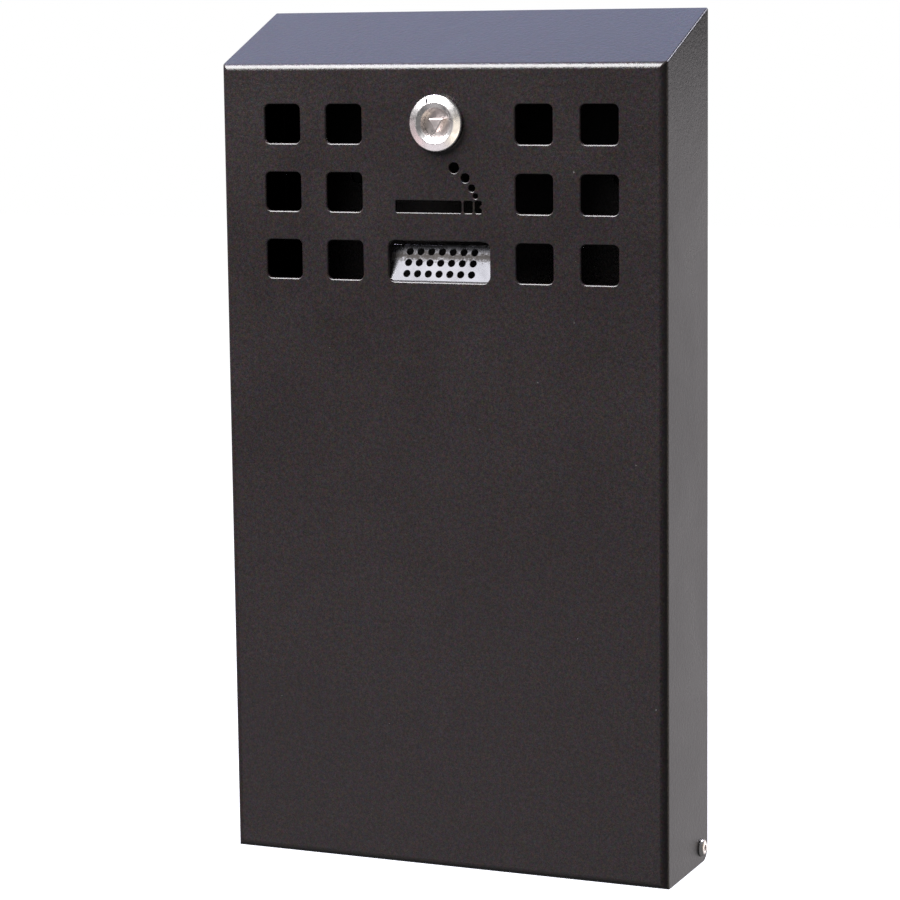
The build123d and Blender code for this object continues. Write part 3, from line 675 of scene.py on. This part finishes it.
def weld_bead(start: Vector, end: Vector, radius: float, ripple: float) -> bmesh.types.BMesh:
    """A rippled weld bead between two points.

    Args:
        start: Where the bead starts.
        end: Where it ends.
        radius: Mean radius of the bead.
        ripple: Distance between ripples.

    Returns:
        The bead as a closed mesh.
    """
    shape = bmesh.new()
    along = (end - start).normalized()
    turn = along.to_track_quat("Z", "Y").to_matrix().to_4x4()
    length = (end - start).length
    bmesh.ops.create_circle(
        shape, cap_ends=True, segments=BEAD_SIDES, radius=radius * BEAD_START,
        matrix=Matrix.Translation(start) @ turn,
    )
    front = list(shape.faces)
    steps = int(length / ripple * BEAD_STEPS)
    for index in range(steps):
        made = bmesh.ops.extrude_face_region(shape, geom=front)
        if index:
            bmesh.ops.delete(shape, geom=front, context="FACES_ONLY")
        front = [f for f in made["geom"] if isinstance(f, bmesh.types.BMFace)]
        verts = [v for v in made["geom"] if isinstance(v, bmesh.types.BMVert)]
        bmesh.ops.translate(shape, verts=verts, vec=along * (length / steps))
        centre = sum((v.co for v in verts), Vector()) / len(verts)
        wave = BEAD_WAVE * math.sin(2 * math.pi * index / BEAD_STEPS)
        wanted = radius * (1.0 + wave + BEAD_UNEVEN * math.sin(index * BEAD_UNEVEN_TURN))
        if index == steps - 1:
            wanted = radius * BEAD_END
        size = (verts[0].co - centre).length
        bmesh.ops.scale(shape, verts=verts, vec=(wanted / size,) * 3, space=Matrix.Translation(-centre))
    bmesh.ops.recalc_face_normals(shape, faces=shape.faces)
    return shape


# ------------------------------------------------------------------ finishes of this bin
class Finish(Enum):
    """Every finish on the bin."""

    COVER_COAT = "cover_coat"
    TRAY_COAT = "tray_coat"
    STUB_SHEET = "stub_stainless"
    LOCK_NICKEL = "lock_nickel"
    LOCK_CORE = "lock_core_metal"
    SCREW_STEEL = "stainless_screw"
    ZINC = "zinc_plate"
    LINER_SHEET = "galvanised"
    NYLON = "nylon"
    RUBBER = "rubber"


class FinishShelf:
    """Every finish's material, built once."""

    def __init__(self) -> None:
        """Build the materials."""
        makers = {
            Finish.COVER_COAT: PowderCoat("cover_powder_coat"),
            # Darker than the cover's coat: partly the tray's own black coat, partly painted shade so the
            # inside seen through the vents reads dark.
            Finish.TRAY_COAT: PowderCoat(
                "tray_coat_darkened_for_shade", (0.0016, 0.0012, 0.0013), (0.008, 0.006, 0.0063), (0.03, 0.03, 0.03),
                roughness=0.42, gloss=0.18, nib_share=0.03,
            ),
            Finish.STUB_SHEET: SheetMetal(
                "stub_plate_sheet", stain_height=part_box("stub_plate")[1].z - 6 * MM,
            ),
            Finish.LOCK_NICKEL: Plated(
                "lock_nickel_plate", colour=(0.92, 0.89, 0.88), roughness=0.24, dull_share=0.22,
                pit_share=0.03, mark=(-4.1 * MM, -70.0 * MM, 192.2 * MM),
                mark_turn=math.radians(-8.0), mark_half=(0.9 * MM, 1.4 * MM),
            ),
            Finish.LOCK_CORE: Plated(
                "lock_core_plate", colour=(0.70, 0.64, 0.63), roughness=0.30, pit_share=0.02,
            ),
            Finish.SCREW_STEEL: Plated(
                "pivot_screw_steel", colour=(0.84, 0.80, 0.78), roughness=0.26, pit_share=0.03,
            ),
            Finish.ZINC: Plated(
                "zinc_plate_bright", colour=(0.62, 0.64, 0.67), roughness=0.30, dull_share=0.6,
            ),
            Finish.LINER_SHEET: Galvanised("liner_galvanised", ash_height=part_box("liner")[0].z),
            Finish.NYLON: Moulded("washer_nylon", (0.62, 0.60, 0.54), 0.45),
            Finish.RUBBER: Moulded("seal_rubber", (0.016, 0.016, 0.016), 0.6),
        }
        self.materials: dict[Finish, bpy.types.Material] = {
            finish: maker.build() for finish, maker in makers.items()
        }

    def get(self, finish: Finish) -> bpy.types.Material:
        """The material of a finish."""
        return self.materials[finish]

    def dress(self, node: str) -> None:
        """Give a CAD node the material of its slot in the record."""
        material = self.get(Finish(record_slot(node)))
        for slot in frame["nodes"][node].material_slots:
            slot.material = material
        LOG.info("%s: dressed in %s", node, material.name)


@dataclass
class SubAssembly:
    """A group of pieces that ride on one body."""

    shelf: FinishShelf
    body: str

    def dress(self) -> None:
        """Dress every CAD node of the body."""
        for node in frame["record"]["behaviour"]["bodies"][self.body]:
            self.shelf.dress(node)

    def add(self, name: str, shape: bmesh.types.BMesh, finish: Finish,
            sharp: float = 35.0) -> bpy.types.Object:
        """Add a new piece on this body.

        Args:
            name: The piece's name.
            shape: Its mesh.
            finish: Its finish, which is also its material slot.
            sharp: Edges that turn by more than this many degrees stay sharp.

        Returns:
            The piece.
        """
        return make_piece(name, shape, self.shelf.get(finish), self.body, sharp)

    def build(self) -> None:
        """Make the new pieces; a plain sub-assembly has none."""


@dataclass
class Cover(SubAssembly):
    """The folded cover with its stub plate."""

    body: str = "cover"
    bead_r: float = 0.9 * MM
    ripple: float = 2.2 * MM
    bead_length: float = 58.0 * MM
    bead_inset: float = 0.4 * MM
    bead_back: float = 5.0 * MM
    bead_lift: float = 0.3 * MM
    bead_sharp: float = 60.0
    sheet: float = 1.5 * MM
    roof_rise: float = 27.0 * MM
    stud_d: float = 4.0 * MM
    stud_pitch: float = 0.7 * MM
    stud_tip: float = 0.6 * MM
    thread_sink: float = 0.1 * MM
    thread_depth: float = 0.2 * MM

    def build(self) -> None:
        """Weld beads inside the roof's seams and threads on the studs."""
        low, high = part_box("front_cover")
        fold_z = high.z - self.roof_rise
        slope = Vector((0.0, high.y - low.y, high.z - fold_z)).normalized()
        for side, word in ((-1, "left"), (1, "right")):
            x = side * (high.x - self.sheet - self.bead_inset)
            start = Vector((x, low.y + self.bead_back, fold_z + self.bead_lift))
            bead = weld_bead(start, start + slope * self.bead_length, self.bead_r, self.ripple)
            self.add("roof_weld_" + word, bead, Finish.COVER_COAT, self.bead_sharp)
        low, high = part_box("stub_studs")
        for side, word in ((-1, "left"), (1, "right")):
            x = side * (high.x - self.stud_d / 2)
            nut_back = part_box("stub_nuts")[1].y
            start = Vector((x, nut_back, (low.z + high.z) / 2))
            ridge = thread(self.stud_d / 2 - self.thread_sink, self.thread_depth, self.stud_pitch,
                           start, Vector((0, 1, 0)), high.y - nut_back - self.stud_tip)
            self.add("stud_thread_" + word, ridge, Finish.ZINC)


@dataclass
class LockHousing(SubAssembly):
    """The lock's barrel, which carries a thread."""

    body: str = "cover"
    root_r: float = 10.9 * MM
    depth: float = 0.45 * MM
    pitch: float = 1.0 * MM
    tip: float = 1.0 * MM
    steps_a_turn: int = 48

    def dress(self) -> None:
        """The cover dresses this body."""

    def build(self) -> None:
        """The barrel's thread behind the nut."""
        low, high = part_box("lock_housing")
        nut_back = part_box("lock_nut")[1].y
        centre = Vector(((low.x + high.x) / 2, nut_back, (low.z + high.z) / 2))
        ridge = thread(self.root_r, self.depth, self.pitch, centre, Vector((0, 1, 0)),
                       high.y - nut_back - self.tip, self.steps_a_turn)
        self.add("lock_thread", ridge, Finish.LOCK_NICKEL)


@dataclass
class LockRotor(SubAssembly):
    """The turning core, cam and their screw."""

    body: str = "lock_rotor"


@dataclass
class WallTray(SubAssembly):
    """The tray on the wall with its strike, hooks and pivots."""

    body: str = "wall_unit"
    root_r: float = 2.4 * MM
    depth: float = 0.2 * MM
    pitch: float = 0.8 * MM
    tip: float = 0.2 * MM

    def build(self) -> None:
        """The pivot screws' threads inside the tray."""
        for side, word in ((-1, "left"), (1, "right")):
            low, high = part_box("pivot_screw_" + word)
            nut_low, nut_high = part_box("pivot_nut_" + word)
            inner = nut_high.x if side < 0 else nut_low.x
            tip = high.x if side < 0 else low.x
            start = Vector((inner, (low.y + high.y) / 2, (low.z + high.z) / 2))
            length = abs(tip - inner)
            if length > 2 * self.pitch:
                ridge = thread(self.root_r, self.depth, self.pitch, start, Vector((-side, 0, 0)),
                               length - self.tip)
                self.add("pivot_thread_" + word, ridge, Finish.SCREW_STEEL)


@dataclass
class Liner(SubAssembly):
    """The inner bucket with its ears."""

    body: str = "liner_bucket"


@dataclass
class Handle(SubAssembly):
    """The bucket's wire handle."""

    body: str = "handle"


# ------------------------------------------------------------------ studio
STUB_FACE = ("stub_plate",)
LOCK_FACE = ("lock_housing", "lock_core")
SCREW_HEADS = ("pivot_screw_left", "pivot_screw_right")


@dataclass(frozen=True)
class Panel:
    """A soft rectangular lamp."""

    name: str
    away: tuple[float, float, float]
    distance: float
    size: tuple[float, float]
    radiance: float
    colour: Colour = (1.0, 1.0, 1.0)
    spares: tuple[str, ...] = ()
    lights: tuple[str, ...] = ()

    def build(self, centre: Vector) -> bpy.types.Object:
        """Hang the lamp so that it faces the object.

        Args:
            centre: The object's centre.

        Returns:
            The lamp.
        """
        data = bpy.data.lights.new(self.name, "AREA")
        data.shape = "RECTANGLE"
        data.size, data.size_y = self.size
        data.energy = self.radiance * math.pi * self.size[0] * self.size[1]
        data.color = self.colour
        lamp = bpy.data.objects.new(self.name, data)
        direction = Vector(self.away).normalized()
        lamp.location = centre + direction * self.distance
        lamp.rotation_mode = "QUATERNION"
        lamp.rotation_quaternion = direction.to_track_quat("Z", "Y")
        lamp.visible_camera = False
        bpy.context.scene.collection.objects.link(lamp)
        if self.spares or self.lights:
            lit = bpy.data.collections.new(self.name + "_lights")
            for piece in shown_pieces():
                if piece.name not in self.spares and (not self.lights or piece.name in self.lights):
                    lit.objects.link(piece)
            lamp.light_linking.receiver_collection = lit
        return lamp


@dataclass
class Studio:
    """Camera, pale floor, white surroundings and soft lamps."""

    eye: Vector = Vector((0.60175, -1.47112, 0.2306))
    right: Vector = Vector((0.92091, 0.38960, -0.01154))
    up: Vector = Vector((-0.04434, 0.13412, 0.98997))
    lens: float = 119.75
    sensor: float = 36.0
    floor_z: float = -0.30
    floor_half: float = 6.0
    patch_y: float = 0.0005
    patch_half: float = 8.0 * MM
    hole_x: float = 75.0 * MM
    hole_z: float = 150.0 * MM
    ambient: float = 0.15
    panels: tuple[Panel, ...] = (
        Panel("overhead_front", (-0.39, -0.49, 0.80), 2.2, (1.76, 1.55), 22.0, spares=STUB_FACE),
        Panel("ridge_sky", (-0.39, -0.08, 0.91), 1.5, (0.7, 0.40), 5.0, (0.76, 0.70, 1.0)),
        Panel("sky_behind", (-0.387, 0.57, 0.73), 1.6, (1.6, 1.0), 1.52, (0.55, 0.64, 1.0)),
        Panel("front_low", (-0.39, -0.87, -0.34), 1.8, (1.2, 0.75), 0.50, (1.0, 0.90, 0.98)),
        Panel("side_behind", (0.42, 0.90, -0.24), 1.9, (1.4, 1.3), 0.80, (1.0, 0.94, 0.96)),
        Panel("low_bounce", (-0.39, -0.55, -0.74), 1.6, (1.4, 1.0), 0.28, (1.0, 0.95, 0.97)),
        Panel("seam_glint", (0.477, 0.566, 0.661), 1.5, (0.45, 0.45), 14.0, (0.86, 0.86, 1.0)),
        Panel("warm_side", (0.88, 0.45, -0.14), 1.5, (0.20, 1.0), 1.5, (1.0, 0.80, 0.55)),
        Panel("plate_sky", (-0.39, -0.75, 0.52), 1.6, (1.1, 0.8), 1.08, (0.90, 0.92, 1.0), lights=STUB_FACE),
        Panel("lock_warm", (0.08, -0.98, -0.12), 1.6, (0.6, 0.9), 1.55, (1.0, 0.91, 0.76), lights=LOCK_FACE),
        Panel("lock_low", (-0.39, -0.83, -0.45), 1.6, (0.9, 0.45), 0.28, (1.0, 0.97, 1.0), lights=LOCK_FACE),
        Panel("lock_top", (-0.39, -0.75, 0.48), 1.6, (0.9, 0.55), 1.3, (1.0, 0.97, 1.0), lights=LOCK_FACE),
        Panel("lock_rose", (-0.72, -0.68, -0.12), 1.6, (0.45, 0.8), 0.95, (1.0, 0.74, 0.77),
              lights=LOCK_FACE),
        Panel("screw_warm", (0.42, 0.90, -0.20), 1.7, (1.2, 0.9), 0.70, (1.0, 0.92, 0.86),
              lights=SCREW_HEADS),
    )

    def camera(self) -> None:
        """Set up the camera."""
        data = bpy.data.cameras.new("camera")
        data.lens = self.lens
        data.sensor_width = self.sensor
        data.clip_end = 50.0
        eye = bpy.data.objects.new("camera", data)
        back = self.right.cross(self.up).normalized()
        turn = Matrix((self.right, self.up, back)).transposed()
        eye.matrix_world = Matrix.Translation(self.eye) @ turn.to_4x4()
        bpy.context.scene.collection.objects.link(eye)
        bpy.context.scene.camera = eye

    def world(self) -> None:
        """White surroundings for the camera and a dimmer glow for the object."""
        world = bpy.data.worlds.new("surroundings")
        bpy.context.scene.world = world
        world.use_nodes = True
        w = Wiring(world.node_tree)
        seen = w.add("Background")
        seen.inputs["Color"].default_value = (1.0, 1.0, 1.0, 1.0)
        seen.inputs["Strength"].default_value = 1.0
        glow = w.add("Background")
        glow.inputs["Color"].default_value = (0.95, 0.97, 1.0, 1.0)
        glow.inputs["Strength"].default_value = self.ambient
        mix = w.add("MixShader")
        w.join(w.add("LightPath").outputs["Is Camera Ray"], mix.inputs[0])
        w.join(glow.outputs[0], mix.inputs[1])
        w.join(seen.outputs[0], mix.inputs[2])
        w.join(mix.outputs[0], w.add("OutputWorld").inputs["Surface"])

    def floor(self) -> None:
        """A pale floor below the bin."""
        shape = bmesh.new()
        place = Matrix.Translation((0, 0, self.floor_z))
        bmesh.ops.create_grid(shape, x_segments=1, y_segments=1, size=self.floor_half, matrix=place)
        mesh = bpy.data.meshes.new("floor")
        shape.to_mesh(mesh)
        shape.free()
        s = Surface("pale_floor")
        s.fix(roughness=0.9, emission_strength=0.95)
        s.shader.inputs["Base Color"].default_value = (0.86, 0.86, 0.86, 1.0)
        s.shader.inputs["Emission Color"].default_value = (1.0, 1.0, 1.0, 1.0)
        mix = s.add("MixShader")
        s.join(s.add("NewGeometry").outputs["Backfacing"], mix.inputs[0])
        s.join(s.shader.outputs[0], mix.inputs[1])
        s.join(s.add("BsdfTransparent").outputs[0], mix.inputs[2])
        s.join(mix.outputs[0], s.output.inputs["Surface"])
        mesh.materials.append(s.material)
        plane = bpy.data.objects.new("floor", mesh)
        bpy.context.scene.collection.objects.link(plane)
        plane.visible_glossy = False
        plane.visible_diffuse = False
        plane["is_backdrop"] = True

    def wall_patch(self) -> None:
        """Dark squares of wall behind the fixing holes, painted shade seen only from the room's side."""
        shape = bmesh.new()
        for x in (-self.hole_x, self.hole_x):
            for z in (-self.hole_z, self.hole_z):
                place = Matrix.Translation((x, self.patch_y, z)) @ Matrix.Rotation(math.pi / 2, 4, "X")
                bmesh.ops.create_grid(shape, x_segments=1, y_segments=1, size=self.patch_half, matrix=place)
        mesh = bpy.data.meshes.new("wall_patch")
        shape.to_mesh(mesh)
        shape.free()
        material = bpy.data.materials.new("shaded_wall")
        material.use_nodes = True
        w = Wiring(material.node_tree)
        painted_shade_sheet = w.add("BsdfDiffuse")
        # A dark diffuse colour: painted shade behind the holes, not the wall's own colour.
        painted_shade_sheet.inputs["Color"].default_value = (0.05, 0.05, 0.05, 1.0)
        mix = w.add("MixShader")
        w.join(w.add("NewGeometry").outputs["Backfacing"], mix.inputs[0])
        w.join(painted_shade_sheet.outputs[0], mix.inputs[1])
        w.join(w.add("BsdfTransparent").outputs[0], mix.inputs[2])
        w.join(mix.outputs[0], w.add("OutputMaterial").inputs["Surface"])
        mesh.materials.append(material)
        patch = bpy.data.objects.new("wall_patch", mesh)
        bpy.context.scene.collection.objects.link(patch)
        patch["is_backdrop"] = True

    def build(self) -> None:
        """Set up the whole studio."""
        self.camera()
        self.world()
        self.floor()
        self.wall_patch()
        low, high = CAD_BOX
        for panel in self.panels:
            panel.build((low + high) / 2)
        bpy.context.scene.view_settings.view_transform = "Standard"


def main() -> None:
    logging.basicConfig(level=logging.INFO, format="%(name)s: %(message)s")
    shelf = FinishShelf()
    for kind in (WallTray, Cover, LockHousing, LockRotor, Liner, Handle):
        assembly = kind(shelf)
        assembly.dress()
        assembly.build()
    Studio().build()


if __name__ == "__main__":
    main()
